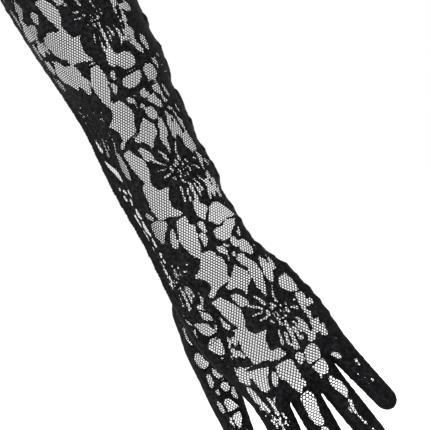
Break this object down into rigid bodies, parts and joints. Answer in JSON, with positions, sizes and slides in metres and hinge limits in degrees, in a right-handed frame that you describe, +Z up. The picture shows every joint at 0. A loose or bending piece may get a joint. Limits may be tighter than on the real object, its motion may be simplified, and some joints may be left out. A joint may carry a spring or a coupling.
{
  "type": "lace dress glove",
  "caption": "Elbow-length black floral lace dress glove for a left hand, hollow and in its worn form, with outline seams round the fingers, a set-in thumb and a plain hem.",
  "frame": {"origin": "middle of the arm opening, in the plane of the hem's upper edge", "axes": "+Z up the arm and out of the opening, fingers down; the back of the hand faces -Y, the palm +Y; the little finger is on the +X side and the thumb on the -X side"},
  "size_m": [0.1124, 0.0746, 0.4312],
  "materials": {
    "lace": "fine black nylon lace with a soft sheen",
    "seam": "doubled black lace, overlocked and gathered",
    "hem": "turned black net, matt"
  },
  "bodies": {
    "root": {"back_sleeve": "lace", "back_hand": "lace", "back_index": "lace", "back_middle": "lace", "back_ring": "lace", "back_little": "lace", "palm_sleeve": "lace", "palm_hand": "lace", "palm_index": "lace", "palm_middle": "lace", "palm_ring": "lace", "palm_little": "lace", "thumb_back": "lace", "thumb_front": "lace", "seam_left": "seam", "seam_index": "seam", "seam_middle": "seam", "seam_ring": "seam", "seam_little": "seam", "seam_right": "seam", "thumb_side_seam": "seam", "thumb_root_seam": "seam", "top_hem": "hem"}
  },
  "joints": []
}
